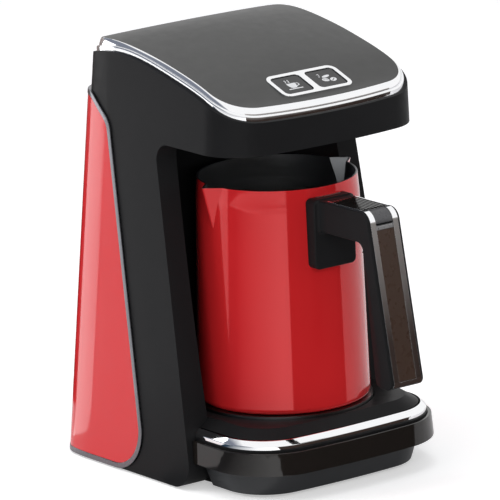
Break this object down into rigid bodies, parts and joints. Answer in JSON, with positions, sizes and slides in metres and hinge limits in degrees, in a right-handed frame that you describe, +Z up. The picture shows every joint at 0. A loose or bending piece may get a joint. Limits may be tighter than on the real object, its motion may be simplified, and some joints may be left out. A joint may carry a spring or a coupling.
{
  "type": "electric turkish coffee maker",
  "caption": "Countertop electric Turkish coffee maker: black housing with overhanging head, red rear cover, crowned lid with two push buttons, and a red lift-out jug with side spouts.",
  "frame": {"origin": "on the floor under the middle of the whole object, jug seated", "axes": "+X to the right seen from the front, +Y from front to rear, +Z up"},
  "size_m": [0.1456, 0.2205, 0.2348],
  "materials": {
    "housing_black": "satin black moulded plastic",
    "rubber_black": "matt",
    "red_gloss": "gloss red moulded plastic",
    "trim_metal": "satin",
    "window_dark": "dark clear",
    "board_green": "coated board",
    "bright_chrome": "polished",
    "lid_grey": "satin dark grey",
    "button_grey": "dark grey with pale signs",
    "plunger_white": "moulded",
    "switch_black": "moulded",
    "screw_steel": "plated",
    "component_black": "moulded",
    "gloss_black": "gloss black moulded plastic",
    "plate_steel": "dark brushed",
    "element_steel": "sheathed",
    "sheet_steel": "pressed",
    "relay_blue": "moulded",
    "transformer_yellow": "taped",
    "terminal_green": "moulded",
    "red_enamel": "gloss red enamel outside, dark inside",
    "disc_aluminium": "turned",
    "insert_brown": "clear brown over dark",
    "band_grey": "pale grey",
    "cap_grey": "dark grey gloss"
  },
  "bodies": {
    "machine": {"main_housing": "housing_black", "cord_gland": "rubber_black", "rear_cover": "red_gloss", "rear_trim": "trim_metal", "head_hatch": "housing_black", "sensor_window": "window_dark", "sensor_board": "board_green", "lid_ring": "bright_chrome", "lid_panel": "lid_grey", "button_bezel": "bright_chrome", "brew_switch": "switch_black", "beans_switch": "switch_black", "button_board": "board_green", "button_board_screws": "screw_steel", "buzzer": "component_black", "base_pan": "housing_black", "base_skirt": "gloss_black", "base_ring": "bright_chrome", "platform": "housing_black", "heating_plate": "plate_steel", "heating_element": "element_steel", "heater_dish": "sheet_steel", "temperature_sensor": "sheet_steel", "thermal_fuse": "component_black", "bottom_cover": "housing_black", "feet": "rubber_black", "floor_screws": "screw_steel", "power_board": "board_green", "relay": "relay_blue", "transformer": "transformer_yellow", "capacitor": "component_black", "terminal_block": "terminal_green"},
    "brew_key": {"brew_button": "button_grey", "brew_plunger": "plunger_white"},
    "beans_key": {"beans_button": "button_grey", "beans_plunger": "plunger_white"},
    "jug": {"jug_body": "red_enamel", "jug_base_disc": "disc_aluminium", "handle_bracket": "housing_black", "handle_tab": "sheet_steel", "handle_grip": "housing_black", "handle_screw": "screw_steel", "handle_frame": "bright_chrome", "handle_insert": "insert_brown", "handle_band": "band_grey", "handle_cap": "cap_grey", "handle_strip": "gloss_black"}
  },
  "joints": [
    {"name": "brew_press", "type": "slide", "parent": "machine", "child": "brew_key", "axis": [0, 0.342, -0.9397], "range_m": [0, 0.0007], "stiffness_N_per_m": 2000, "springref_m": -0.0004},
    {"name": "beans_press", "type": "slide", "parent": "machine", "child": "beans_key", "axis": [0, 0.342, -0.9397], "range_m": [0, 0.0007], "stiffness_N_per_m": 2000, "springref_m": -0.0004},
    {"name": "jug_lift_out", "type": "slide", "parent": "machine", "child": "jug", "axis": [0, -1, 0], "range_m": [0, 0.13]}
  ]
}
